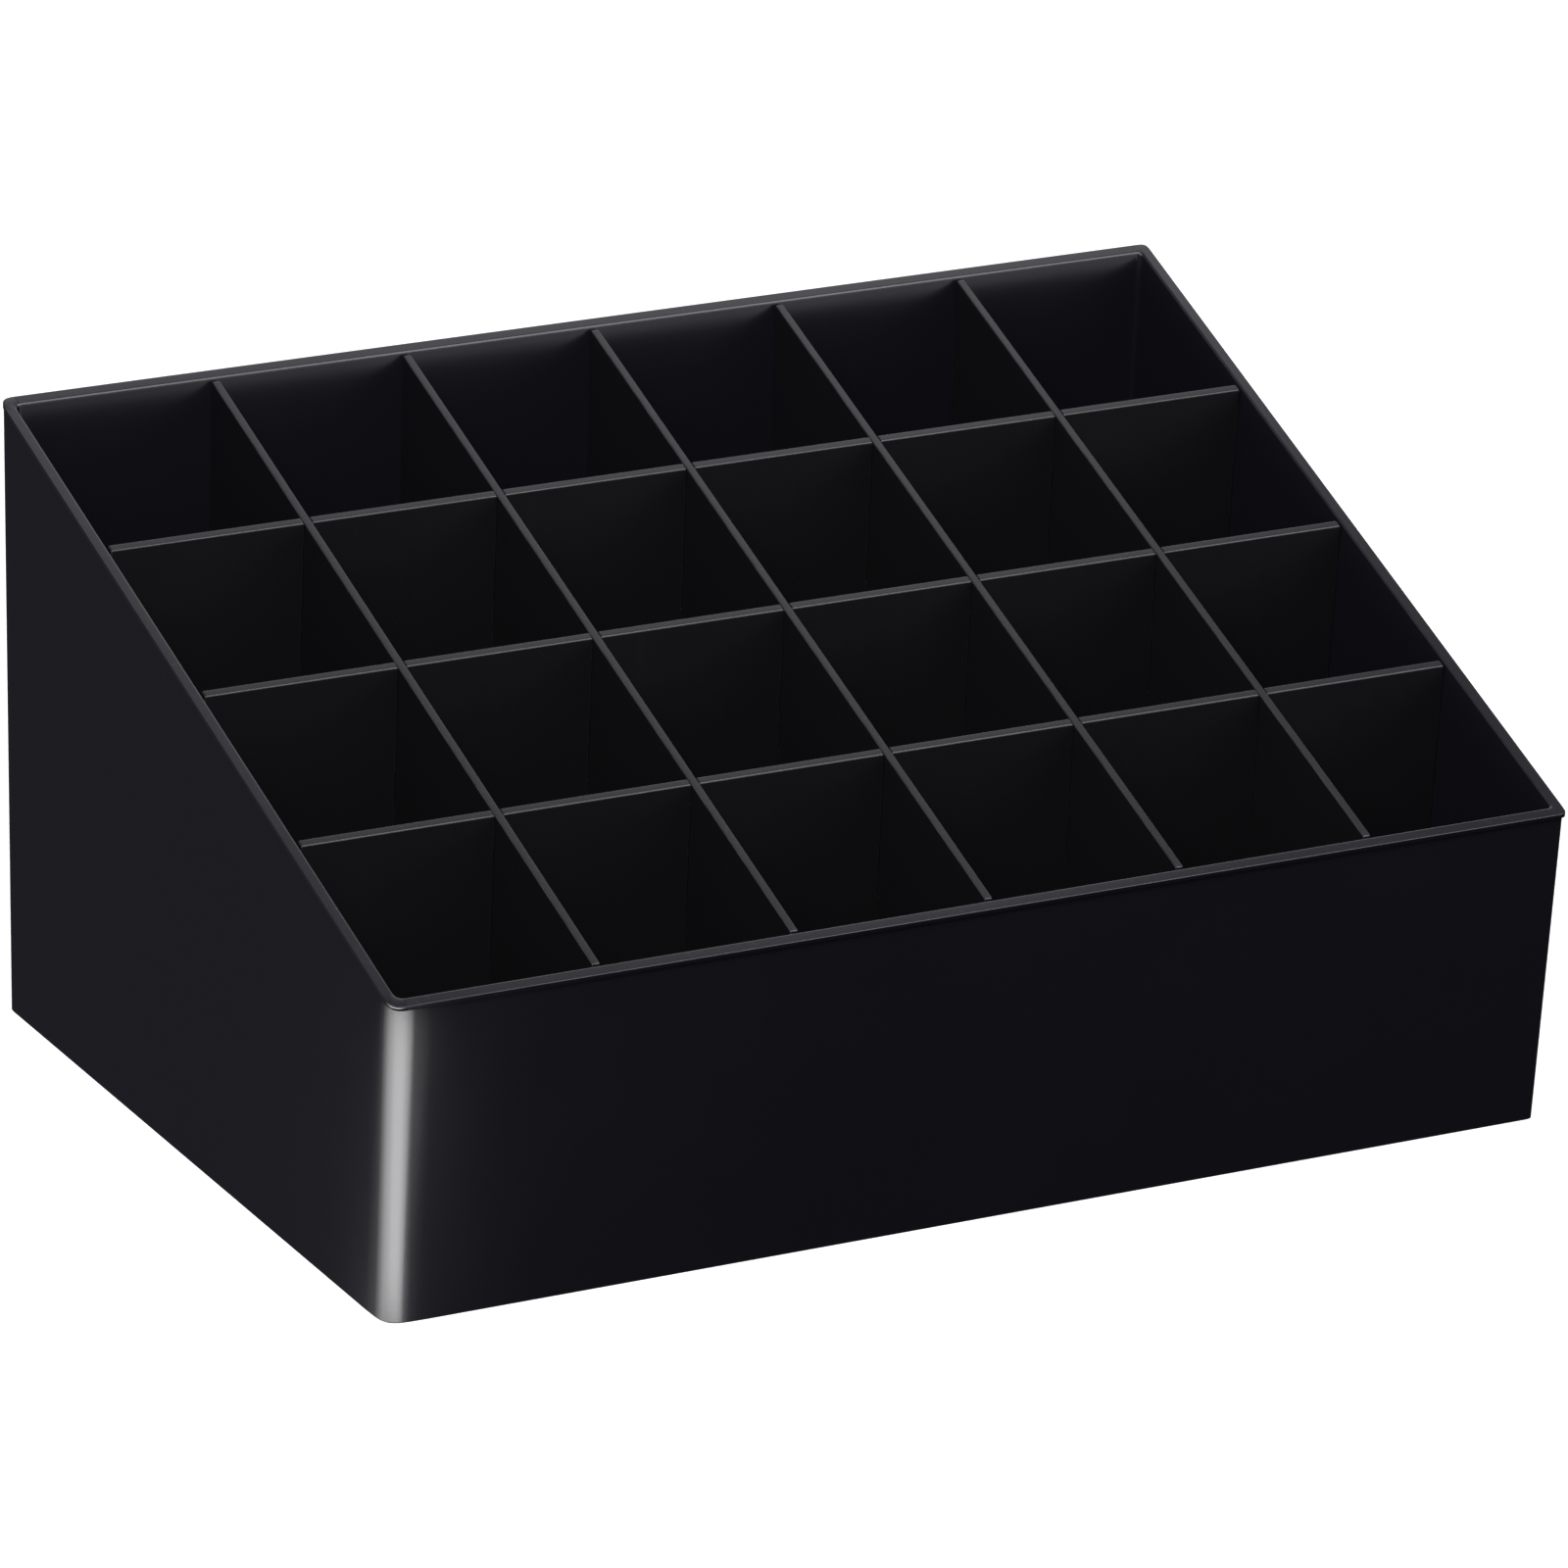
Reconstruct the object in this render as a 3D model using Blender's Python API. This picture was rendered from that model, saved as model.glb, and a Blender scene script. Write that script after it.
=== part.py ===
"""Paint rack organizer.

An open-topped plastic casing, low at the front and high at the back, holds a stepped floor and a
grid of interlocking dividers that lifts straight out. Metres, +Z up, front towards -Y. The origin
is on the table, under the middle of the rim's outline.
"""

import bmesh
import bpy
import math
from mathutils import Matrix, Vector

MM = 0.001

# Overall sizes, over the rim.
WIDTH = 185.0 * MM
DEPTH = 123.0 * MM
FRONT_HEIGHT = 46.5 * MM
BACK_HEIGHT = 91.5 * MM

# Casing.
WALL = 1.7 * MM
BASE_THICKNESS = 2.0 * MM
DRAFT = math.radians(1.2)
FRONT_CORNER_RADIUS = 1.8 * MM
BACK_CORNER_RADIUS = 1.2 * MM
LIP_PROUD = 0.3 * MM
LIP_HEIGHT = 0.6 * MM
LIP_CORNER_RADIUS = 1.2 * MM
CAVITY_CORNER_RADIUS = 1.0 * MM
FOOT_RING = 4.0 * MM
FOOT_RECESS = 0.6 * MM

# Grid of slots.
COLUMNS = 6
ROWS = 4
DIVIDER = 1.2 * MM
DIVIDER_DROP = 0.1 * MM

# Stepped floor.
TREAD = 1.6 * MM
RISER = 1.6 * MM

# Gap between neighbouring pieces, and how far a cutter runs past what it cuts.
CLEARANCE = 0.3 * MM
OVERCUT = 5.0 * MM

# Worked out from the sizes above.
RIM = LIP_PROUD + WALL
SLOPE = (BACK_HEIGHT - FRONT_HEIGHT) / DEPTH
DRAFT_RATE = math.tan(DRAFT)
MIDDLE_HEIGHT = (FRONT_HEIGHT + BACK_HEIGHT) / 2
CLEAR_WIDTH = WIDTH - 2 * (RIM + (BACK_HEIGHT - MIDDLE_HEIGHT) * DRAFT_RATE)
COLUMN_PITCH = CLEAR_WIDTH / COLUMNS
ROW_PITCH = (DEPTH - 2 * RIM) / ROWS
ROW_RISE = ROW_PITCH * SLOPE
FLOOR_UNDERSIDE = BASE_THICKNESS + CLEARANCE
FIRST_TREAD_TOP = FLOOR_UNDERSIDE + TREAD
FIT_INSET = RIM + CLEARANCE

PLASTICS = {
    "casing_plastic": ((0.0065, 0.0060, 0.0080, 1.0), 0.28),
    "floor_plastic": ((0.0070, 0.0066, 0.0082, 1.0), 0.42),
    "divider_plastic": ((0.0085, 0.0080, 0.0100, 1.0), 0.34),
}


def clear_scene():
    for item in list(bpy.data.objects):
        bpy.data.objects.remove(item, do_unlink=True)


def new_collection(name):
    collection = bpy.data.collections.new(name)
    bpy.context.scene.collection.children.link(collection)
    return collection


def make_plastic(name):
    colour, roughness = PLASTICS[name]
    material = bpy.data.materials.new(name)
    material.use_nodes = True
    shader = material.node_tree.nodes["Principled BSDF"]
    shader.inputs["Base Color"].default_value = colour
    shader.inputs["Roughness"].default_value = roughness
    shader.inputs["Metallic"].default_value = 0.0
    return material


def object_from_bmesh(name, bm, collection, location=(0.0, 0.0, 0.0)):
    bmesh.ops.recalc_face_normals(bm, faces=bm.faces)
    mesh = bpy.data.meshes.new(name)
    bm.to_mesh(mesh)
    bm.free()
    item = bpy.data.objects.new(name, mesh)
    item.location = location
    collection.objects.link(item)
    return item


def as_cutter(item):
    item.hide_render = True
    item.display_type = "WIRE"
    return item


def box(name, low, high, collection):
    """A plain box between two corners, with its origin at its own centre."""
    low, high = Vector(low), Vector(high)
    bm = bmesh.new()
    bmesh.ops.create_cube(bm, size=1.0, matrix=Matrix.Diagonal((*(high - low), 1.0)))
    return object_from_bmesh(name, bm, collection, (low + high) / 2)


def rim_height(y):
    """Height of the rim's sloping plane at a distance from front to back."""
    return FRONT_HEIGHT + (y + DEPTH / 2) * SLOPE


def side_x(z, inset):
    """Half width of the drafted outline at a height, inset from the lip's outer face."""
    return WIDTH / 2 - (BACK_HEIGHT - z) * DRAFT_RATE - inset


def front_y(z, inset):
    return -DEPTH / 2 + (FRONT_HEIGHT - z) * DRAFT_RATE + inset


def back_y(z, inset):
    return DEPTH / 2 - (BACK_HEIGHT - z) * DRAFT_RATE - inset


def sloped_heights(inset, offset):
    """Where the rim's plane, moved up by offset, meets the front and back walls."""
    lean = SLOPE * DRAFT_RATE
    front = FRONT_HEIGHT + (offset + SLOPE * inset) / (1 + lean)
    back = BACK_HEIGHT + (offset - SLOPE * inset) / (1 - lean)
    return front, back


def drafted_block(name, inset, bottom, top, radii, collection):
    """A block with the casing's drafted sides; bottom, top and radii are (front, back) pairs."""
    bm = bmesh.new()
    bmesh.ops.create_cube(bm, size=2.0)
    for vertex in bm.verts:
        side, depth, level = (math.copysign(1, value) for value in vertex.co)
        front, back = top if level > 0 else bottom
        z = back if depth > 0 else front
        y = back_y(z, inset) if depth > 0 else front_y(z, inset)
        vertex.co = (side * side_x(z, inset), y, z)
    for side, radius in zip((-1, 1), radii):
        upright = [edge for edge in bm.edges if is_upright(edge) and edge.verts[0].co.y * side > 0]
        if radius > 0:
            bmesh.ops.bevel(bm, geom=upright, offset=radius, segments=6, profile=0.5, affect="EDGES")
    return object_from_bmesh(name, bm, collection)


def is_upright(edge):
    run = edge.verts[0].co - edge.verts[1].co
    return abs(run.z) > max(abs(run.x), abs(run.y))


def apply_boolean(item, tool, operation):
    cut = item.modifiers.new(f"{operation.lower()}_{tool.name}", "BOOLEAN")
    cut.operation = operation
    cut.solver = "EXACT"
    cut.object = tool


def shade(item):
    item.data.shade_smooth()
    item.data.set_sharp_from_angle(angle=math.radians(30))


def row_divider_y(number):
    return -DEPTH / 2 + RIM + number * ROW_PITCH


def column_divider_x(number):
    return (number - COLUMNS / 2) * COLUMN_PITCH


def tread_top(number):
    return FIRST_TREAD_TOP + (number - 1) * ROW_RISE


def row_divider_foot(number):
    """A row divider stands on the front edge of the tread behind it."""
    return tread_top(number + 1) + CLEARANCE


def lap_height(number):
    """Height at which a row divider's slots end and the column dividers' slots begin."""
    y = row_divider_y(number)
    return (row_divider_foot(number) + rim_height(y)) / 2


def make_outer_casing(parts, cutters, plastic):
    lip_foot = sloped_heights(0, -LIP_HEIGHT)
    rim = sloped_heights(0, 0)
    body_top = sloped_heights(LIP_PROUD, -LIP_HEIGHT / 2)
    above_rim = sloped_heights(RIM, OVERCUT)
    corners = (FRONT_CORNER_RADIUS, BACK_CORNER_RADIUS)
    lip_corners = (LIP_CORNER_RADIUS, LIP_CORNER_RADIUS)
    cavity_corners = (CAVITY_CORNER_RADIUS, CAVITY_CORNER_RADIUS)
    casing = drafted_block("outer_casing", LIP_PROUD, (0, 0), body_top, corners, parts)
    lip = as_cutter(drafted_block("lip_band", 0, lip_foot, rim, lip_corners, cutters))
    floor = (BASE_THICKNESS, BASE_THICKNESS)
    cavity = as_cutter(drafted_block("cavity", RIM, floor, above_rim, cavity_corners, cutters))
    ring = LIP_PROUD + FOOT_RING
    below = (-OVERCUT, -OVERCUT)
    recess = as_cutter(drafted_block("underside_recess", ring, below, (FOOT_RECESS, FOOT_RECESS),
                                     corners, cutters))
    apply_boolean(casing, lip, "UNION")
    apply_boolean(casing, cavity, "DIFFERENCE")
    apply_boolean(casing, recess, "DIFFERENCE")
    casing.data.materials.append(plastic)
    shade(casing)


def make_tier_floor(parts, cutters, plastic):
    """Treads on upright risers that reach down to the casing's base."""
    underside = (FLOOR_UNDERSIDE, FLOOR_UNDERSIDE)
    top = (tread_top(ROWS), tread_top(ROWS))
    corners = (CAVITY_CORNER_RADIUS, CAVITY_CORNER_RADIUS)
    floor = drafted_block("tier_floor", FIT_INSET, underside, top, corners, parts)
    reach = WIDTH / 2 + OVERCUT
    for number in range(1, ROWS):
        riser_face = row_divider_y(number) - DIVIDER / 2
        air = box(f"air_over_tread_{number}", (-reach, -DEPTH, tread_top(number)),
                  (reach, riser_face, BACK_HEIGHT), cutters)
        apply_boolean(floor, as_cutter(air), "DIFFERENCE")
    for number in range(2, ROWS + 1):
        front = row_divider_y(number - 1) - DIVIDER / 2 + RISER
        if number < ROWS:
            back = row_divider_y(number) - DIVIDER / 2
        else:
            back = back_y(FLOOR_UNDERSIDE, FIT_INSET + RISER)
        hollow = box(f"hollow_under_tread_{number}", (-reach, front, -OVERCUT),
                     (reach, back, tread_top(number) - TREAD), cutters)
        apply_boolean(floor, as_cutter(hollow), "DIFFERENCE")
    floor.data.materials.append(plastic)
    shade(floor)


def make_row_divider(number, envelope, parts, cutters, plastic):
    """A plate across the casing, slotted from the top at every column divider."""
    y = row_divider_y(number)
    foot = row_divider_foot(number)
    reach = WIDTH / 2
    plate = box(f"row_divider_{number}", (-reach, y - DIVIDER / 2, foot),
                (reach, y + DIVIDER / 2, BACK_HEIGHT), parts)
    apply_boolean(plate, envelope, "INTERSECT")
    half_slot = DIVIDER / 2 + CLEARANCE
    slot_foot = lap_height(number) - CLEARANCE / 2
    for column in range(1, COLUMNS):
        x = column_divider_x(column)
        slot = box(f"row_{number}_slot_{column}", (x - half_slot, y - DIVIDER - CLEARANCE, slot_foot),
                   (x + half_slot, y + DIVIDER + CLEARANCE, BACK_HEIGHT + OVERCUT), cutters)
        apply_boolean(plate, as_cutter(slot), "DIFFERENCE")
    plate.data.materials.append(plastic)
    shade(plate)


def make_column_divider(number, envelope, parts, cutters, plastic):
    """A plate from front to back with a stepped foot, slotted from below at every row divider."""
    x = column_divider_x(number)
    plate = box(f"column_divider_{number}", (x - DIVIDER / 2, -DEPTH / 2, tread_top(1) + CLEARANCE),
                (x + DIVIDER / 2, DEPTH / 2, BACK_HEIGHT + OVERCUT), parts)
    apply_boolean(plate, envelope, "INTERSECT")
    side = DIVIDER + CLEARANCE
    half_slot = DIVIDER / 2 + CLEARANCE
    for row in range(1, ROWS):
        y = row_divider_y(row)
        step = box(f"column_{number}_step_{row}",
                   (x - side, y - DIVIDER / 2 - CLEARANCE, -OVERCUT),
                   (x + side, DEPTH, tread_top(row + 1) + CLEARANCE), cutters)
        apply_boolean(plate, as_cutter(step), "DIFFERENCE")
        slot_top = lap_height(row) + CLEARANCE / 2
        slot = box(f"column_{number}_slot_{row}", (x - side, y - half_slot, -OVERCUT),
                   (x + side, y + half_slot, slot_top), cutters)
        apply_boolean(plate, as_cutter(slot), "DIFFERENCE")
    plate.data.materials.append(plastic)
    shade(plate)


def make_divider_grid(parts, cutters, plastic):
    """Everything in the grid stays inside this envelope, clear of the walls and below the rim."""
    top = sloped_heights(FIT_INSET, -DIVIDER_DROP)
    foot = (FLOOR_UNDERSIDE, FLOOR_UNDERSIDE)
    envelope = as_cutter(drafted_block("grid_envelope", FIT_INSET, foot, top, (0, 0), cutters))
    for number in range(1, ROWS):
        make_row_divider(number, envelope, parts, cutters, plastic)
    for number in range(1, COLUMNS):
        make_column_divider(number, envelope, parts, cutters, plastic)


def main():
    clear_scene()
    parts = new_collection("paint_rack_organizer")
    cutters = new_collection("cutters")
    make_outer_casing(parts, cutters, make_plastic("casing_plastic"))
    make_tier_floor(parts, cutters, make_plastic("floor_plastic"))
    make_divider_grid(parts, cutters, make_plastic("divider_plastic"))


main()
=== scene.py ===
"""Looks for the paint rack organizer: a black moulded casing with a sloped rim, a stepped floor and
a grid of interlocking plates. Metres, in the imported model's frame."""

import bmesh
import bpy
import math
import numpy as np
from mathutils import Matrix, Vector


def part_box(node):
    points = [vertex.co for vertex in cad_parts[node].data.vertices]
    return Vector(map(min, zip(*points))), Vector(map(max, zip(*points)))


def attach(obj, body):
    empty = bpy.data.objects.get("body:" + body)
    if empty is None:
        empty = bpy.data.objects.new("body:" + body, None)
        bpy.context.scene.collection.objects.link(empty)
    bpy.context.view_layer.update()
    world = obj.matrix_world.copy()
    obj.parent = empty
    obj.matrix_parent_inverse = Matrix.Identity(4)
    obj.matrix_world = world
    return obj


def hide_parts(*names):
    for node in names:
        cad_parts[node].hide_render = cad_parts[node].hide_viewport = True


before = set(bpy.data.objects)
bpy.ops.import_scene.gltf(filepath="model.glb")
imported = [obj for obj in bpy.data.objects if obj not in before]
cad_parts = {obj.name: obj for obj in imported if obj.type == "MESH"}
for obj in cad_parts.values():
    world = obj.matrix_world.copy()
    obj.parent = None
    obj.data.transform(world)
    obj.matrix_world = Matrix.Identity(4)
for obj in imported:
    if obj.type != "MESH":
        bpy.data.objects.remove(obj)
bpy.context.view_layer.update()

MM = 0.001

# ---------------------------------------------------------------- sizes read from the frame
casing_low, casing_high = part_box("outer_casing")
WIDTH = casing_high.x - casing_low.x
DEPTH = casing_high.y - casing_low.y
BACK_HEIGHT = casing_high.z
ROW_NODES = ["row_divider_1", "row_divider_2", "row_divider_3"]
COLUMN_NODES = [f"column_divider_{number}" for number in range(1, 6)]


def centre_of(node):
    low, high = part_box(node)
    return (low + high) / 2


def height_at_front_of_casing():
    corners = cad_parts["outer_casing"].data.vertices
    return max(v.co.z for v in corners if v.co.y < casing_low.y + 0.05 * MM)


FRONT_HEIGHT = height_at_front_of_casing()
ROW_PLACES = [centre_of(node).y for node in ROW_NODES]
COLUMN_PLACES = [centre_of(node).x for node in COLUMN_NODES]
ROW_FEET = [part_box(node)[0].z for node in ROW_NODES]
COLUMN_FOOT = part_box(COLUMN_NODES[0])[0].z
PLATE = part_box(ROW_NODES[0])[1].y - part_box(ROW_NODES[0])[0].y
FLOOR_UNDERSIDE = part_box("tier_floor")[0].z

# ---------------------------------------------------------------- sizes of the moulding
DRAFT_RATE = math.tan(math.radians(1.2))
SLOPE = (BACK_HEIGHT - FRONT_HEIGHT) / DEPTH
LIP_PROUD = 0.3 * MM
LIP_HEIGHT = 0.6 * MM
LIP_STEP_ROUND = 0.2 * MM
RIM_WIDTH = 2.0 * MM
RIM_OUTER_ROUND = 0.08 * MM
RIM_INNER_ROUND = 0.36 * MM
LEAD_IN_DEPTH = 6.0 * MM
LEAD_IN_FLARE = 0.28 * MM
BASE_THICKNESS = 2.0 * MM
BASE_EDGE_ROUND = 0.2 * MM
INSIDE_FILLET = 0.8 * MM
RING_WIDTH = 4.0 * MM
RING_RECESS = 0.6 * MM
RING_ROUND = 0.25 * MM

# A corner is (how far from the sharp corner the curve starts, how much of the corner it takes off).
# Each set goes round from front left to front right, back right and back left.
SHARP_WALL_CORNER = (1.6 * MM, 0.35 * MM)
SHARP_LIP_CORNER = (1.6 * MM, 0.38 * MM)
SHARP_INNER_CORNER = (0.9 * MM, 0.3 * MM)
WALL_CORNERS = ((6.0 * MM, 1.3 * MM), SHARP_WALL_CORNER, SHARP_WALL_CORNER, SHARP_WALL_CORNER)
LIP_CORNERS = ((2.6 * MM, 0.8 * MM), SHARP_LIP_CORNER, SHARP_LIP_CORNER, (2.4 * MM, 0.72 * MM))
INNER_CORNERS = ((1.2 * MM, 0.42 * MM), SHARP_INNER_CORNER, SHARP_INNER_CORNER, SHARP_INNER_CORNER)
CORNER_PLACES = ((-1, -1), (1, -1), (1, 1), (-1, 1))
CORNER_STEPS = 20
SETTLING_PASSES = 4

# ---------------------------------------------------------------- sizes of the plates and the floor
WALL_GAP = 0.1 * MM
PLATE_DROP = 0.1 * MM
LAP_GAP = 0.05 * MM
PLATE_EDGE = 0.17 * MM
FOOT_ROUND = 0.6 * MM
STEP_ROUND = 0.3 * MM
TOP_ROUND = 0.3 * MM
# Points of a row plate this near its top lean with the rim.
TOP_BAND = 0.5 * MM
SLOT_MOUTH_ROUND = 0.25 * MM
SLOT_END_ROUND = 0.4 * MM
TREAD = 1.6 * MM
LEG_ROUND = 0.3 * MM
NOSE_ROUND = 0.4 * MM
END_ROUND = 0.5 * MM
BEND_ROUND = 0.8 * MM
ROUND_STEPS = 4


def rim_height(y):
    return FRONT_HEIGHT + (y + DEPTH / 2) * SLOPE


def side_x(z, inset):
    return WIDTH / 2 - (BACK_HEIGHT - z) * DRAFT_RATE - inset


def front_y(z, inset):
    return -DEPTH / 2 + (FRONT_HEIGHT - z) * DRAFT_RATE + inset


def back_y(z, inset):
    return DEPTH / 2 - (BACK_HEIGHT - z) * DRAFT_RATE - inset


def quarter(steps):
    """Angles from 0 to a right angle."""
    return [math.pi / 2 * step / steps for step in range(steps + 1)]


def blend(first, second, share):
    """Corner shapes part of the way from one set to another."""
    return tuple(tuple(a + (b - a) * share for a, b in zip(*pair)) for pair in zip(first, second))


# ---------------------------------------------------------------- building meshes
def piece_from_bmesh(name, bm, material):
    bmesh.ops.recalc_face_normals(bm, faces=bm.faces)
    mesh = bpy.data.meshes.new(name)
    bm.to_mesh(mesh)
    bm.free()
    mesh.materials.append(material)
    mesh.shade_smooth()
    piece = bpy.data.objects.new(name, mesh)
    bpy.context.scene.collection.objects.link(piece)
    weigh = piece.modifiers.new("flat_faces_stay_flat", "WEIGHTED_NORMAL")
    weigh.mode = "FACE_AREA"
    weigh.weight = 50
    return piece


def settle(piece, body, slot, *nodes):
    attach(piece, body)
    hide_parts(*nodes)


def conic_corner(reach, cut, steps):
    """Points of a corner curve that starts gently, turns tightly and ends gently.

    They are given as distances back from the sharp corner along the two sides that meet there,
    spaced so that each step turns the surface by the same angle.
    """
    fullness = 1 - cut * math.sqrt(2) / reach
    pull = fullness / (1 - fullness)
    t = np.linspace(0, 1, 401)
    weight = (1 - t) ** 2 + 2 * t * (1 - t) * pull + t ** 2
    along = reach * (1 - t) ** 2 / weight
    across = reach * t ** 2 / weight
    turn = np.unwrap(np.arctan2(np.gradient(across), -np.gradient(along)))
    wanted = np.linspace(turn[0], turn[-1], steps + 1)
    return list(zip(np.interp(wanted, turn, along), np.interp(wanted, turn, across)))


def outline_loop(inset, corners, height):
    """One closed loop round the casing; height gives z from a place's distance front to back."""
    points = []
    for (side, end), corner in zip(CORNER_PLACES, corners):
        for leaving, arriving in conic_corner(*corner, CORNER_STEPS):
            along_y, along_x = (leaving, arriving) if side * end > 0 else (arriving, leaving)
            y = end * DEPTH / 2
            # The height depends on y where the loop slopes, and y on the height through the draft.
            for _ in range(SETTLING_PASSES):
                z = height(y)
                edge = front_y(z, inset) if end < 0 else back_y(z, inset)
                y = edge - end * along_y
            x = side * (side_x(z, inset) - along_x)
            points.append((x, y, z))
    return points


def level(z):
    return lambda y: z


def below_rim(drop):
    return lambda y: rim_height(y) - drop


def casing_sections():
    """(inset, corners, height, share of edge wear and painted edge highlight) from the middle of the
    underside, up the outside, over the rim and down the inside to the floor."""
    sections = []
    ring = LIP_PROUD + RING_WIDTH
    sections.append((ring + 2 * RING_ROUND, WALL_CORNERS, level(RING_RECESS), 0))
    for angle in quarter(3):
        inset = ring + RING_ROUND * (1 - math.sin(angle))
        z = RING_ROUND * (1 - math.cos(angle))
        sections.append((inset, WALL_CORNERS, level(z), 0.4))
    for angle in quarter(5):
        inset = LIP_PROUD + BASE_EDGE_ROUND * (1 - math.sin(angle))
        z = BASE_EDGE_ROUND * (1 - math.cos(angle))
        sections.append((inset, WALL_CORNERS, level(z), 0.3 * math.sin(2 * angle)))
    for share in (0.2, 0.4, 0.6, 0.8):
        sections.append((LIP_PROUD, WALL_CORNERS, between_base_and_lip(share), 0))
    under_lip = LIP_HEIGHT + LIP_STEP_ROUND
    sections.append((LIP_PROUD, WALL_CORNERS, below_rim(under_lip), 0))
    for angle in quarter(3):
        share = 1 - math.cos(angle)
        inset = LIP_PROUD * (1 - share)
        corners = blend(WALL_CORNERS, LIP_CORNERS, share)
        drop = under_lip - LIP_STEP_ROUND * math.sin(angle)
        sections.append((inset, corners, below_rim(drop), 0))
    for angle in quarter(4):
        inset = RIM_OUTER_ROUND * (1 - math.cos(angle))
        drop = RIM_OUTER_ROUND * (1 - math.sin(angle))
        sections.append((inset, rim_corners(inset), below_rim(drop), 0.4 * math.sin(2 * angle)))
    mouth = RIM_WIDTH - LEAD_IN_FLARE
    # The rim's inner round is marked most: it gets the strongest painted edge highlight.
    for angle in quarter(6):
        inset = mouth - RIM_INNER_ROUND * (1 - math.sin(angle))
        drop = RIM_INNER_ROUND * (1 - math.cos(angle))
        sections.append((inset, rim_corners(inset), below_rim(drop), math.sin(2 * angle)))
    for share in (0.08, 0.17, 0.28, 0.42, 0.6, 0.8, 1.0):
        inset = mouth + LEAD_IN_FLARE * (1 - (1 - share) ** 3)
        drop = RIM_INNER_ROUND + (LEAD_IN_DEPTH - RIM_INNER_ROUND) * share
        sections.append((inset, INNER_CORNERS, below_rim(drop), 0))
    for share in (0.7, 0.35):
        sections.append((RIM_WIDTH, INNER_CORNERS, between_base_and_lip(share), 0))
    for angle in quarter(4):
        inset = RIM_WIDTH + INSIDE_FILLET * (1 - math.cos(angle))
        z = BASE_THICKNESS + INSIDE_FILLET * (1 - math.sin(angle))
        sections.append((inset, INNER_CORNERS, level(z), 0))
    return sections


def rim_corners(inset):
    return blend(LIP_CORNERS, INNER_CORNERS, inset / RIM_WIDTH)


def between_base_and_lip(share):
    return lambda y: BASE_EDGE_ROUND + (rim_height(y) - LIP_HEIGHT - BASE_EDGE_ROUND) * share


def make_casing(material):
    bm = bmesh.new()
    wear_and_highlight = bm.verts.layers.float.new("wear_highlight_share")
    loops = []
    for inset, corners, height, wear_highlight_share in casing_sections():
        loop = [bm.verts.new(point) for point in outline_loop(inset, corners, height)]
        for vertex in loop:
            vertex[wear_and_highlight] = wear_highlight_share
        loops.append(loop)
    for lower, upper in zip(loops, loops[1:]):
        for index in range(len(lower)):
            after = (index + 1) % len(lower)
            bm.faces.new((lower[index], lower[after], upper[after], upper[index]))
    bm.faces.new(loops[0])
    bm.faces.new(loops[-1])
    casing = piece_from_bmesh("casing_shell", bm, material)
    settle(casing, "casing", "casing_plastic", "outer_casing")


def softened(outline):
    """A closed outline of (a, b, radius) corners as plain points, each corner rounded."""
    points = []
    count = len(outline)
    for index, (a, b, radius) in enumerate(outline):
        here = Vector((a, b))
        if radius == 0:
            points.append(here)
            continue
        back = (Vector(outline[index - 1][:2]) - here).normalized()
        ahead = (Vector(outline[(index + 1) % count][:2]) - here).normalized()
        opening = back.angle(ahead)
        reach = radius / math.tan(opening / 2)
        start, end = here + back * reach, here + ahead * reach
        for step in range(ROUND_STEPS + 1):
            t = step / ROUND_STEPS
            points.append(start * (1 - t) ** 2 + here * 2 * t * (1 - t) + end * t ** 2)
    return points


def sheet_piece(name, outline, place, thickness, material):
    """A flat plate cut to an outline. place turns (a, b, across) into x, y, z."""
    bm = bmesh.new()
    wear_and_highlight = bm.verts.layers.float.new("wear_highlight_share")
    near = [bm.verts.new(place(p.x, p.y, -thickness / 2)) for p in outline]
    far = [bm.verts.new(place(p.x, p.y, thickness / 2)) for p in outline]
    sides = [bm.faces.new(near), bm.faces.new(far)]
    for index in range(len(outline)):
        after = (index + 1) % len(outline)
        bm.faces.new((near[index], near[after], far[after], far[index]))
    bmesh.ops.recalc_face_normals(bm, faces=bm.faces)
    rims = list({edge for side in sides for edge in side.edges})
    cut = bmesh.ops.bevel(bm, geom=rims, offset=PLATE_EDGE, segments=3, profile=0.5, affect="EDGES")
    rounded = set(cut["faces"])
    # Bevelled edges are marked for wear and for a painted highlight along them.
    for vertex in bm.verts:
        vertex[wear_and_highlight] = 1.0 if all(face in rounded for face in vertex.link_faces) else 0.0
    return piece_from_bmesh(name, bm, material)


def make_row_plate(number, material):
    """Runs left to right, slotted from the top. Its top leans with the rim."""
    y = ROW_PLACES[number]
    foot = ROW_FEET[number]
    top = rim_height(y) - PLATE_DROP
    lap = (foot + rim_height(y)) / 2 - LAP_GAP / 2
    half_slot = PLATE / 2 + LAP_GAP
    inset = RIM_WIDTH + WALL_GAP
    outline = [(-side_x(foot, inset), foot, FOOT_ROUND), (side_x(foot, inset), foot, FOOT_ROUND),
               (side_x(top, inset), top, TOP_ROUND)]
    for x in reversed(COLUMN_PLACES):
        outline += [(x + half_slot, top, SLOT_MOUTH_ROUND), (x + half_slot, lap, SLOT_END_ROUND),
                    (x - half_slot, lap, SLOT_END_ROUND), (x - half_slot, top, SLOT_MOUTH_ROUND)]
    outline.append((-side_x(top, inset), top, TOP_ROUND))

    def place(a, b, across):
        lean = SLOPE * across if b > top - TOP_BAND else 0
        return a, y + across, b + lean

    plate = sheet_piece(f"row_plate_{number + 1}", softened(outline), place, PLATE, material)
    settle(plate, "divider_grid", "divider_plastic", ROW_NODES[number])


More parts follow.
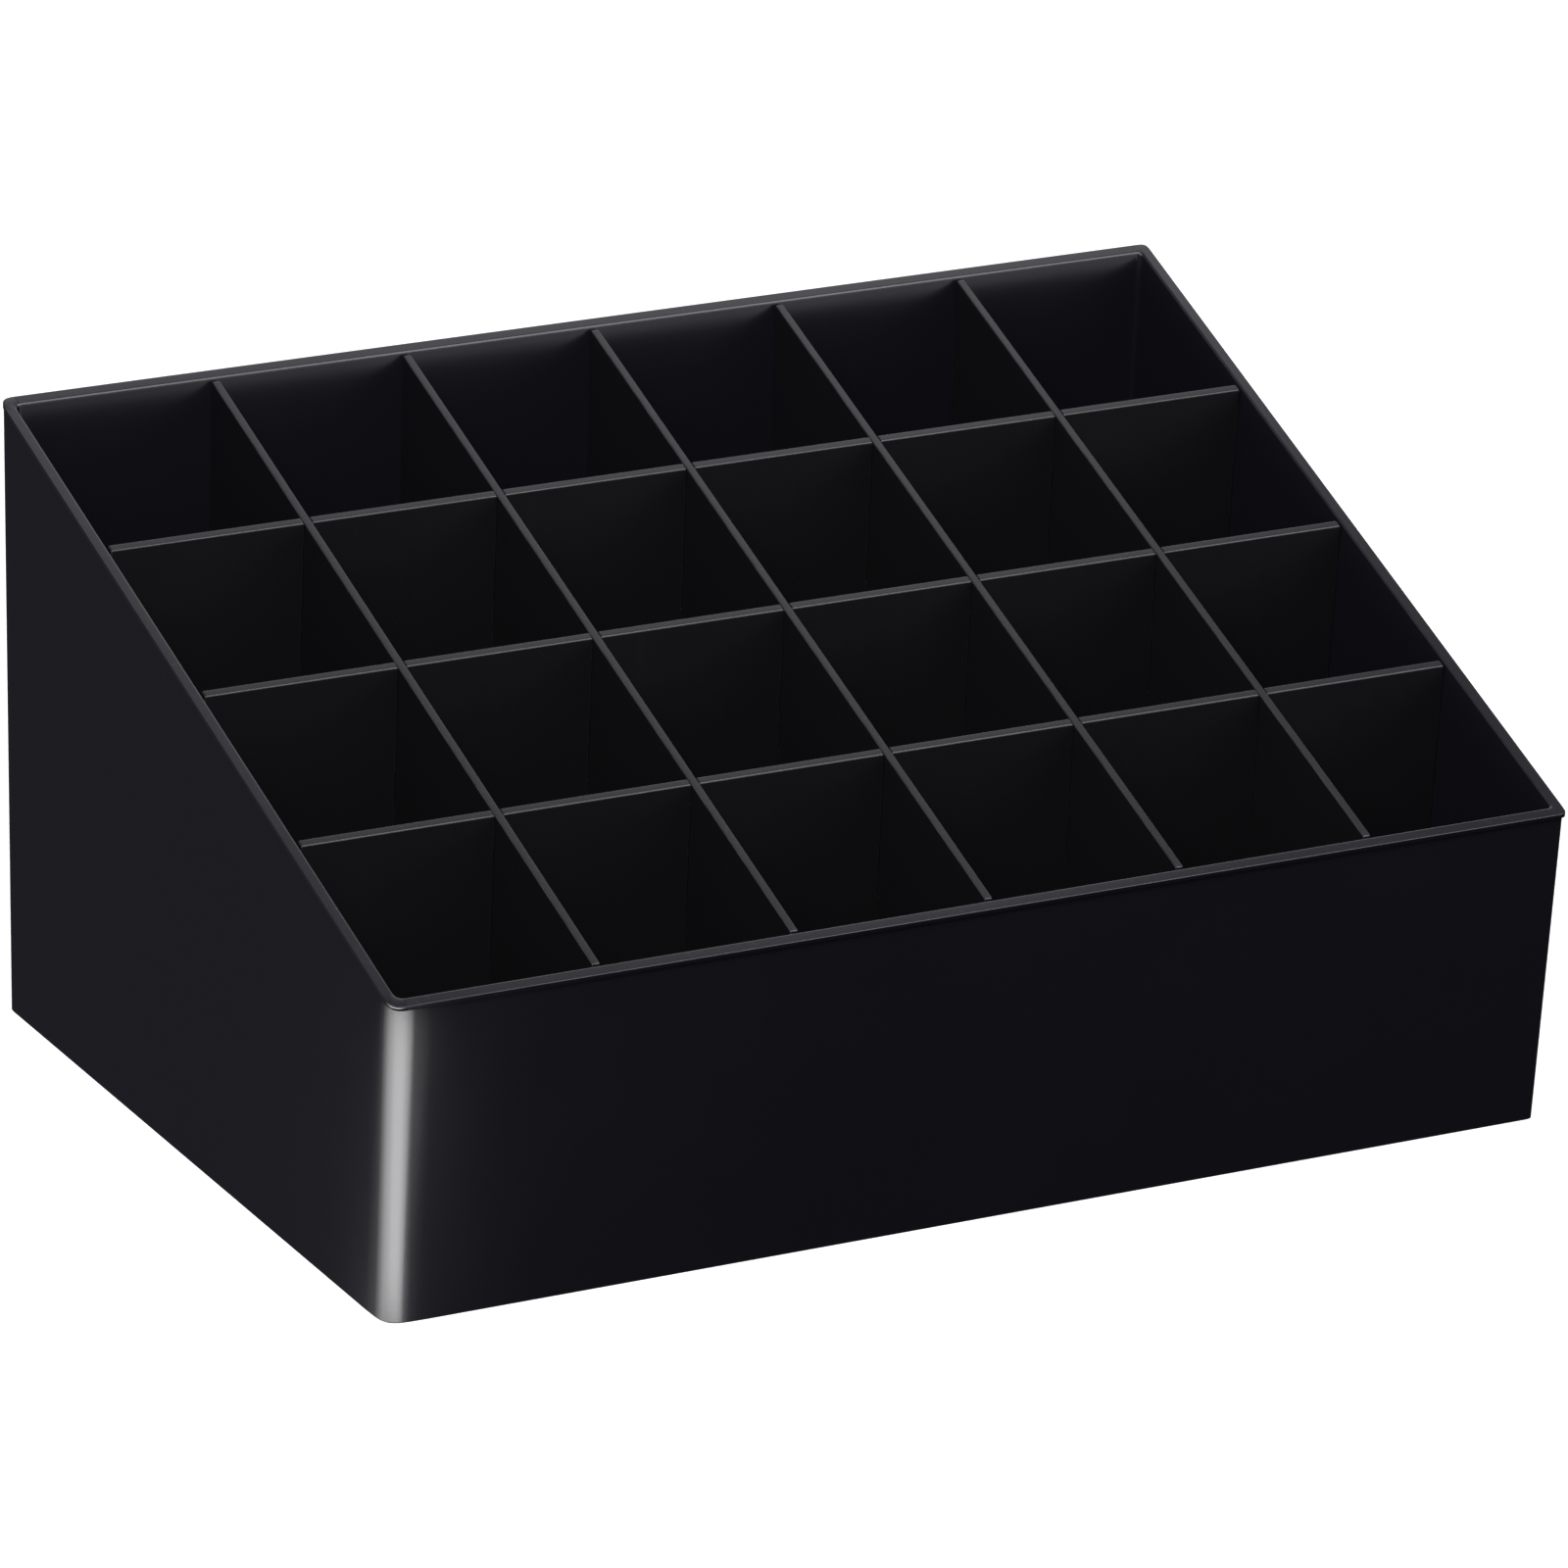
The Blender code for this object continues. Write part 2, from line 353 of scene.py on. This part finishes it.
def make_column_plate(number, material):
    """Runs front to back under a sloping top, with a stepped foot slotted from below."""
    x = COLUMN_PLACES[number]
    inset = RIM_WIDTH + WALL_GAP
    feet = [COLUMN_FOOT] + ROW_FEET
    half_slot = PLATE / 2 + LAP_GAP
    outline = [(front_y(feet[0], inset), feet[0], FOOT_ROUND)]
    for row, y in enumerate(ROW_PLACES):
        lap = (ROW_FEET[row] + rim_height(y)) / 2 + LAP_GAP / 2
        outline += [(y - half_slot, feet[row], STEP_ROUND), (y - half_slot, lap, SLOT_END_ROUND),
                    (y + half_slot, lap, SLOT_END_ROUND), (y + half_slot, feet[row + 1], STEP_ROUND)]
    outline.append((back_y(feet[-1], inset), feet[-1], FOOT_ROUND))
    back = back_y(BACK_HEIGHT, inset)
    front = front_y(FRONT_HEIGHT, inset)
    outline += [(back, rim_height(back) - PLATE_DROP, TOP_ROUND),
                (front, rim_height(front) - PLATE_DROP, TOP_ROUND)]

    def place(a, b, across):
        return x + across, a, b

    plate = sheet_piece(f"column_plate_{number + 1}", softened(outline), place, PLATE, material)
    settle(plate, "divider_grid", "divider_plastic", COLUMN_NODES[number])


def make_stepped_floor(material):
    """Treads and risers in one bent section, with each riser reaching down to the casing's base."""
    gap = FLOOR_UNDERSIDE - BASE_THICKNESS
    tops = [COLUMN_FOOT - gap] + [foot - gap for foot in ROW_FEET]
    risers = [y - PLATE / 2 for y in ROW_PLACES]
    inset = RIM_WIDTH + gap
    front = front_y(tops[0], inset)
    back = back_y(FLOOR_UNDERSIDE, inset)
    outline = [(front, FLOOR_UNDERSIDE, LEG_ROUND), (front, tops[0], END_ROUND)]
    for riser, low, high in zip(risers, tops, tops[1:]):
        outline += [(riser, low, BEND_ROUND), (riser, high, NOSE_ROUND)]
    outline += [(back, tops[-1], END_ROUND), (back, FLOOR_UNDERSIDE, LEG_ROUND)]
    leg = back - TREAD
    for riser, high in zip(reversed(risers), reversed(tops[1:])):
        under = high - TREAD
        outline += [(leg, FLOOR_UNDERSIDE, LEG_ROUND), (leg, under, BEND_ROUND),
                    (riser + TREAD, under, BEND_ROUND), (riser + TREAD, FLOOR_UNDERSIDE, LEG_ROUND)]
        leg = riser
    points = softened(outline)
    bm = bmesh.new()
    wear_and_highlight = bm.verts.layers.float.new("wear_highlight_share")
    ends = []
    for side in (-1, 1):
        ends.append([bm.verts.new((side * side_x(p.y, inset), p.x, p.y)) for p in points])
    for index in range(len(points)):
        after = (index + 1) % len(points)
        bm.faces.new((ends[0][index], ends[0][after], ends[1][after], ends[1][index]))
    bm.faces.new(ends[0])
    bm.faces.new(ends[1])
    for vertex in bm.verts:
        vertex[wear_and_highlight] = 0
    floor = piece_from_bmesh("stepped_floor", bm, material)
    settle(floor, "casing", "floor_plastic", "tier_floor")


# ---------------------------------------------------------------- finishes
# Each plastic's own colour, and the paler one on its marked edges: partly wear, partly a painted
# highlight along the edges.
CASING_BLACK = (0.0102, 0.0095, 0.0134, 1.0)
CASING_EDGE_WEAR_AND_HIGHLIGHT = (0.020, 0.0195, 0.0225, 1.0)
FLOOR_BLACK = (0.0100, 0.0098, 0.0106, 1.0)
FLOOR_EDGE_WEAR_AND_HIGHLIGHT = (0.020, 0.0195, 0.022, 1.0)
PLATE_BLACK = (0.0100, 0.0098, 0.0110, 1.0)
PLATE_EDGE_WEAR_AND_HIGHLIGHT = (0.045, 0.0445, 0.049, 1.0)
DUST_COLOUR = (0.32, 0.31, 0.30, 1.0)
DUST_SHARE = 0.06
POLYSTYRENE_IOR = 1.5


def new_group(name, inputs, outputs):
    tree = bpy.data.node_groups.new(name, "ShaderNodeTree")
    for label, value in inputs:
        socket = tree.interface.new_socket(label, in_out="INPUT", socket_type="NodeSocketFloat")
        socket.default_value = value
    for label in outputs:
        tree.interface.new_socket(label, in_out="OUTPUT", socket_type="NodeSocketFloat")
    entry = tree.nodes.new("NodeGroupInput")
    result = tree.nodes.new("NodeGroupOutput")
    return tree, entry, result


def add_noise(tree, place, scale, detail=3.0, roughness=0.5):
    noise = tree.nodes.new("ShaderNodeTexNoise")
    noise.inputs["Detail"].default_value = detail
    noise.inputs["Roughness"].default_value = roughness
    tree.links.new(place, noise.inputs["Vector"])
    if isinstance(scale, (int, float)):
        noise.inputs["Scale"].default_value = scale
    else:
        tree.links.new(scale, noise.inputs["Scale"])
    return noise.outputs["Fac"]


def add_math(tree, operation, first, second=0.5, clamp=False):
    node = tree.nodes.new("ShaderNodeMath")
    node.operation = operation
    node.use_clamp = clamp
    for socket, value in zip(node.inputs, (first, second)):
        if isinstance(value, (int, float)):
            socket.default_value = value
        else:
            tree.links.new(value, socket)
    return node.outputs[0]


def add_range(tree, value, low, high, to_low=0.0, to_high=1.0, smooth=False):
    node = tree.nodes.new("ShaderNodeMapRange")
    tree.links.new(value, node.inputs["Value"])
    node.interpolation_type = "SMOOTHSTEP" if smooth else "LINEAR"
    limits = {"From Min": low, "From Max": high, "To Min": to_low, "To Max": to_high}
    for label, number in limits.items():
        node.inputs[label].default_value = number
    return node.outputs["Result"]


def object_place(tree):
    return tree.nodes.new("ShaderNodeTexCoord").outputs["Object"]


def make_mould_skin():
    """Orange-peel of a polished mould: a fine ripple over a slow one."""
    tree, entry, result = new_group("mould_skin", [("Ripple Scale", 900.0), ("Wave Scale", 60.0)],
                                    ["Height"])
    place = object_place(tree)
    ripple = add_noise(tree, place, entry.outputs["Ripple Scale"], 2.0)
    wave = add_noise(tree, place, entry.outputs["Wave Scale"], 1.0)
    slow = add_math(tree, "MULTIPLY", wave, 3.0)
    tree.links.new(add_math(tree, "ADD", ripple, slow), result.inputs["Height"])
    return tree


def make_handling_marks():
    """Soft smears and hairline rubs that change only how sharp reflections are."""
    tree, entry, result = new_group("handling_marks", [("Smear Scale", 28.0), ("Rub Scale", 500.0)],
                                    ["Smear", "Rub"])
    place = object_place(tree)
    smear = add_noise(tree, place, entry.outputs["Smear Scale"], 4.0, 0.6)
    tree.links.new(add_range(tree, smear, 0.3, 0.8, smooth=True), result.inputs["Smear"])
    stretch = tree.nodes.new("ShaderNodeMapping")
    stretch.inputs["Scale"].default_value = (1.0, 0.06, 0.06)
    stretch.inputs["Rotation"].default_value = (0.2, 0.4, 0.7)
    tree.links.new(place, stretch.inputs["Vector"])
    rub = add_noise(tree, stretch.outputs["Vector"], entry.outputs["Rub Scale"], 2.0)
    tree.links.new(add_range(tree, rub, 0.6, 0.85, smooth=True), result.inputs["Rub"])
    return tree


def make_edge_wear_and_highlight():
    """Marked rounded edges, broken up in patches: they get a painted highlight in their colour and the
    rougher gloss that hands and bottles wear into them.
    """
    tree, entry, result = new_group("edge_wear_and_highlight", [("Breakup Scale", 260.0)], ["Mask"])
    mark = tree.nodes.new("ShaderNodeAttribute")
    mark.attribute_name = "wear_highlight_share"
    breakup = add_noise(tree, object_place(tree), entry.outputs["Breakup Scale"], 3.0, 0.6)
    patchy = add_range(tree, breakup, 0.3, 0.62, 0.25, 1.0)
    mask = add_math(tree, "MULTIPLY", mark.outputs["Fac"], patchy, clamp=True)
    tree.links.new(mask, result.inputs["Mask"])
    return tree


def make_settled_dust():
    """A trace of dust on faces that look up."""
    tree, entry, result = new_group("settled_dust", [("Speck Scale", 1400.0)], ["Mask"])
    split = tree.nodes.new("ShaderNodeSeparateXYZ")
    tree.links.new(tree.nodes.new("ShaderNodeNewGeometry").outputs["Normal"], split.inputs[0])
    upward = add_range(tree, split.outputs["Z"], 0.55, 1.0)
    specks = add_noise(tree, object_place(tree), entry.outputs["Speck Scale"], 2.0, 0.7)
    sparse = add_range(tree, specks, 0.62, 0.74)
    tree.links.new(add_math(tree, "MULTIPLY", upward, sparse), result.inputs["Mask"])
    return tree


def place_group(tree, group, **values):
    node = tree.nodes.new("ShaderNodeGroup")
    node.node_tree = group
    for label, value in values.items():
        node.inputs[label.replace("_", " ")].default_value = value
    return node


def mix_colour(tree, share, first, second):
    node = tree.nodes.new("ShaderNodeMix")
    node.data_type = "RGBA"
    tree.links.new(share, node.inputs["Factor"])
    for label, value in (("A", first), ("B", second)):
        socket = [s for s in node.inputs if s.name == label and s.type == "RGBA"][0]
        if isinstance(value, tuple):
            socket.default_value = value
        else:
            tree.links.new(value, socket)
    return [s for s in node.outputs if s.type == "RGBA"][0]


def make_plastic(name, groups, colour, edge_wear_and_highlight_colour, gloss, worn_gloss, depth):
    """Black polystyrene. gloss is (roughness where clean, more where smeared, more where rubbed),
    worn_gloss is the roughness that the rubbed edges add, and depth is how deep the mould's skin is.
    Marked edges also take a paler colour, which is a painted highlight."""
    material = bpy.data.materials.new(name)
    material.use_nodes = True
    tree = material.node_tree
    shader = tree.nodes["Principled BSDF"]
    wear_and_highlight = place_group(tree, groups["edge_wear_and_highlight"]).outputs["Mask"]
    dust = place_group(tree, groups["settled_dust"]).outputs["Mask"]
    marks = place_group(tree, groups["handling_marks"])
    skin = place_group(tree, groups["mould_skin"])
    # Marked edges take the paler colour: a painted highlight along the edges, over their wear.
    tone = mix_colour(tree, wear_and_highlight, colour, edge_wear_and_highlight_colour)
    dusty = add_math(tree, "MULTIPLY", dust, DUST_SHARE)
    tone = mix_colour(tree, dusty, tone, DUST_COLOUR)
    tree.links.new(tone, shader.inputs["Base Color"])
    clean, smeared, rubbed = gloss
    rough = add_math(tree, "ADD", add_math(tree, "MULTIPLY", marks.outputs["Smear"], smeared), clean)
    rough = add_math(tree, "ADD", rough, add_math(tree, "MULTIPLY", marks.outputs["Rub"], rubbed))
    rough = add_math(tree, "ADD", rough, add_math(tree, "MULTIPLY", wear_and_highlight, worn_gloss))
    tree.links.new(rough, shader.inputs["Roughness"])
    bump = tree.nodes.new("ShaderNodeBump")
    bump.inputs["Strength"].default_value = 0.35
    bump.inputs["Distance"].default_value = depth
    tree.links.new(skin.outputs["Height"], bump.inputs["Height"])
    tree.links.new(bump.outputs["Normal"], shader.inputs["Normal"])
    shader.inputs["IOR"].default_value = POLYSTYRENE_IOR
    return material


def make_finishes():
    groups = {"mould_skin": make_mould_skin(), "handling_marks": make_handling_marks(),
              "edge_wear_and_highlight": make_edge_wear_and_highlight(), "settled_dust": make_settled_dust()}
    casing = make_plastic("black_casing_polystyrene", groups, CASING_BLACK, CASING_EDGE_WEAR_AND_HIGHLIGHT,
                          gloss=(0.2, 0.05, 0.03), worn_gloss=0.06, depth=0.008 * MM)
    floor = make_plastic("black_floor_polystyrene", groups, FLOOR_BLACK, FLOOR_EDGE_WEAR_AND_HIGHLIGHT,
                         gloss=(0.36, 0.06, 0.05), worn_gloss=0.06, depth=0.012 * MM)
    plates = make_plastic("black_plate_polystyrene", groups, PLATE_BLACK, PLATE_EDGE_WEAR_AND_HIGHLIGHT,
                          gloss=(0.26, 0.05, 0.03), worn_gloss=0.08, depth=0.008 * MM)
    return casing, floor, plates


# ---------------------------------------------------------------- studio
CAMERA_AZIMUTH = math.radians(-29.42)
CAMERA_ELEVATION = math.radians(21.28)
CAMERA_ROLL = math.radians(2.54)
CAMERA_DISTANCE = 1514.98 * MM
CAMERA_AIM = Vector((0.0, 0.0, 40.0 * MM))
CAMERA_SLIDE = (0.774 * MM, 2.195 * MM)
CAMERA_LENS = 248.2
ARC_DISTANCE = 45 * MM
ARC_LOW = -26 * MM
ARC_INSET = 1.5 * MM
ARC_LEAN = math.radians(-9.0)
# How bright each panel of an arc is, going clockwise from its start.
FRONT_LEFT_LEVELS = (0.08, 0.72, 0.98, 1.0, 1.0, 1.0, 0.97, 0.9, 0.8, 0.7, 0.62, 0.5, 0.34, 0.16, 0.03)
REAR_LEVELS = (0.1, 0.35, 0.7, 1.0, 0.7, 0.35, 0.1)
# The bent strips of panels: name, side, end, height, start, step, levels, radiance.
CORNER_ARCS = (("front_left_arc", -1, -1, 52 * MM, 22.0, 12.0, FRONT_LEFT_LEVELS, 11.6),
               ("back_right_arc", 1, 1, 95 * MM, 190.0, 18.0, REAR_LEVELS, 5.0))

LIGHTS_AIM = Vector((0.0, 0.0, 60 * MM))
LIGHTS_DISTANCE = 0.8
SOFTBOX_SIZE = 0.5
COOL_WHITE = (0.97, 0.96, 1.0)
WARM_WHITE = (1.0, 0.99, 1.0)
WHITE = (1.0, 1.0, 1.0)
OVERHEAD_OFFSET = Vector((0.31275, 0.53875, 0.51075))
OVERHEAD_RADIANCE = 0.95
KEY_AZIMUTH = math.radians(-40.0)
KEY_ELEVATION = math.radians(50.0)
KEY_RADIANCE = 6.0
# Panels that only glint along edges: name, azimuth, elevation, width, height, radiance.
REFLECTORS = (("right_edge_panel", 51.0, 54.0, 0.5, 0.55, 5.0),
              ("low_right_panel", 33.0, 9.0, 0.4, 0.44, 0.95),
              ("back_edge_panel", 138.0, 20.0, 0.7, 0.3, 0.75))

# The surround's light: up from the horizon to overhead, then everywhere from the front to the back.
SKY_STOPS = ((0.46, (0.0, 0.0, 0.0, 1.0)), (0.56, (0.22, 0.215, 0.24, 1.0)),
             (0.85, (0.18, 0.175, 0.195, 1.0)))
GROUND_STOPS = ((0.0, (0.028, 0.026, 0.034, 1.0)), (1.0, (0.073, 0.069, 0.088, 1.0)))


def direction(azimuth, elevation):
    flat = math.cos(elevation)
    return Vector((math.sin(azimuth) * flat, -math.cos(azimuth) * flat, math.sin(elevation)))


def make_camera():
    back = direction(CAMERA_AZIMUTH, CAMERA_ELEVATION)
    right = Vector((math.cos(CAMERA_AZIMUTH), math.sin(CAMERA_AZIMUTH), 0.0))
    up = back.cross(right)
    place = CAMERA_AIM + back * CAMERA_DISTANCE + right * CAMERA_SLIDE[0] + up * CAMERA_SLIDE[1]
    turned_right = right * math.cos(CAMERA_ROLL) + up * math.sin(CAMERA_ROLL)
    turned_up = up * math.cos(CAMERA_ROLL) - right * math.sin(CAMERA_ROLL)
    camera = bpy.data.objects.new("studio_camera", bpy.data.cameras.new("studio_camera"))
    camera.data.lens = CAMERA_LENS
    camera.data.sensor_width = 36.0
    camera.data.clip_end = 20.0
    turn = Matrix((turned_right, turned_up, back)).transposed().to_4x4()
    camera.matrix_world = Matrix.Translation(place) @ turn
    bpy.context.scene.collection.objects.link(camera)
    bpy.context.scene.camera = camera


def make_area_light(name, place, aim, width, height, radiance, colour):
    """radiance is how bright the panel looks, whatever its size."""
    light = bpy.data.lights.new(name, "AREA")
    light.shape = "RECTANGLE"
    light.size = width
    light.size_y = height
    light.energy = radiance * math.pi * width * height
    light.color = colour
    lamp = bpy.data.objects.new(name, light)
    lamp.location = place
    lamp.rotation_euler = (aim - place).to_track_quat("-Z", "Y").to_euler()
    lamp.visible_camera = False
    bpy.context.scene.collection.objects.link(lamp)
    return lamp


def make_corner_arc(name, side, end, height, start, step, levels, radiance):
    """A bent strip of panels round one upright corner, for the bright streak down it."""
    x = side * (WIDTH / 2 - ARC_INSET)
    y = end * (DEPTH / 2 - ARC_INSET)
    middle = Vector((x, y, ARC_LOW + height / 2))
    width = 2 * ARC_DISTANCE * math.tan(math.radians(step / 2))
    for number, share in enumerate(levels):
        away = direction(math.radians(start - step * number), 0.0)
        panel = make_area_light(f"{name}_{number}", middle + away * ARC_DISTANCE, middle, width,
                                height, radiance * share, WHITE)
        panel.rotation_euler.rotate_axis("Z", ARC_LEAN)
        panel.visible_diffuse = False


def make_lights():
    for arc in CORNER_ARCS:
        make_corner_arc(*arc)
    make_area_light("overhead_softbox", LIGHTS_AIM + OVERHEAD_OFFSET, LIGHTS_AIM, SOFTBOX_SIZE,
                    SOFTBOX_SIZE, OVERHEAD_RADIANCE, COOL_WHITE)
    key = LIGHTS_AIM + direction(KEY_AZIMUTH, KEY_ELEVATION) * LIGHTS_DISTANCE
    make_area_light("front_key", key, LIGHTS_AIM, SOFTBOX_SIZE, SOFTBOX_SIZE, KEY_RADIANCE, WARM_WHITE)
    for name, azimuth, elevation, width, height, radiance in REFLECTORS:
        away = direction(math.radians(azimuth), math.radians(elevation))
        panel = make_area_light(name, LIGHTS_AIM + away * LIGHTS_DISTANCE, LIGHTS_AIM, width, height,
                                radiance, COOL_WHITE)
        panel.visible_diffuse = False


def add_ramp(tree, value, stops):
    ramp = tree.nodes.new("ShaderNodeValToRGB")
    tree.links.new(value, ramp.inputs["Fac"])
    while len(ramp.color_ramp.elements) < len(stops):
        ramp.color_ramp.elements.new(0.5)
    for element, (position, colour) in zip(ramp.color_ramp.elements, stops):
        element.position = position
        element.color = colour
    return ramp.outputs["Color"]


def make_world():
    """White to the camera. For light and reflections it is dim, and dimmest low at the front."""
    world = bpy.data.worlds.new("studio_surround")
    bpy.context.scene.world = world
    world.use_nodes = True
    tree = world.node_tree
    tree.nodes.clear()
    split = tree.nodes.new("ShaderNodeSeparateXYZ")
    tree.links.new(tree.nodes.new("ShaderNodeTexCoord").outputs["Generated"], split.inputs[0])
    rise = add_range(tree, split.outputs["Z"], -1.0, 1.0)
    behind = add_range(tree, split.outputs["Y"], -0.85, 0.85)
    above = add_ramp(tree, rise, SKY_STOPS)
    below = add_ramp(tree, behind, GROUND_STOPS)
    total = tree.nodes.new("ShaderNodeVectorMath")
    total.operation = "ADD"
    tree.links.new(above, total.inputs[0])
    tree.links.new(below, total.inputs[1])
    lit = tree.nodes.new("ShaderNodeBackground")
    tree.links.new(total.outputs[0], lit.inputs["Color"])
    seen = tree.nodes.new("ShaderNodeBackground")
    seen.inputs["Color"].default_value = (1.0, 1.0, 1.0, 1.0)
    choose = tree.nodes.new("ShaderNodeMixShader")
    ray = tree.nodes.new("ShaderNodeLightPath")
    tree.links.new(ray.outputs["Is Camera Ray"], choose.inputs["Fac"])
    tree.links.new(lit.outputs[0], choose.inputs[1])
    tree.links.new(seen.outputs[0], choose.inputs[2])
    output = tree.nodes.new("ShaderNodeOutputWorld")
    tree.links.new(choose.outputs[0], output.inputs["Surface"])


def make_floor():
    bm = bmesh.new()
    bmesh.ops.create_grid(bm, x_segments=2, y_segments=2, size=6.0)
    mesh = bpy.data.meshes.new("studio_floor")
    bm.to_mesh(mesh)
    bm.free()
    floor = bpy.data.objects.new("studio_floor", mesh)
    floor.location.z = -0.02 * MM
    bpy.context.scene.collection.objects.link(floor)
    material = bpy.data.materials.new("pale_floor")
    material.use_nodes = True
    shader = material.node_tree.nodes["Principled BSDF"]
    shader.inputs["Base Color"].default_value = (0.5, 0.5, 0.5, 1.0)
    shader.inputs["Roughness"].default_value = 1.0
    shader.inputs["Specular IOR Level"].default_value = 0.0
    shader.inputs["Emission Color"].default_value = (1.0, 1.0, 1.0, 1.0)
    shader.inputs["Emission Strength"].default_value = 0.93
    mesh.materials.append(material)
    floor.visible_diffuse = False
    floor.visible_glossy = False
    floor.visible_shadow = False


def main():
    bpy.context.scene.view_settings.view_transform = "Standard"
    casing, floor, plates = make_finishes()
    make_casing(casing)
    make_stepped_floor(floor)
    for number in range(len(ROW_NODES)):
        make_row_plate(number, plates)
    for number in range(len(COLUMN_NODES)):
        make_column_plate(number, plates)
    make_camera()
    make_lights()
    make_world()
    make_floor()


main()
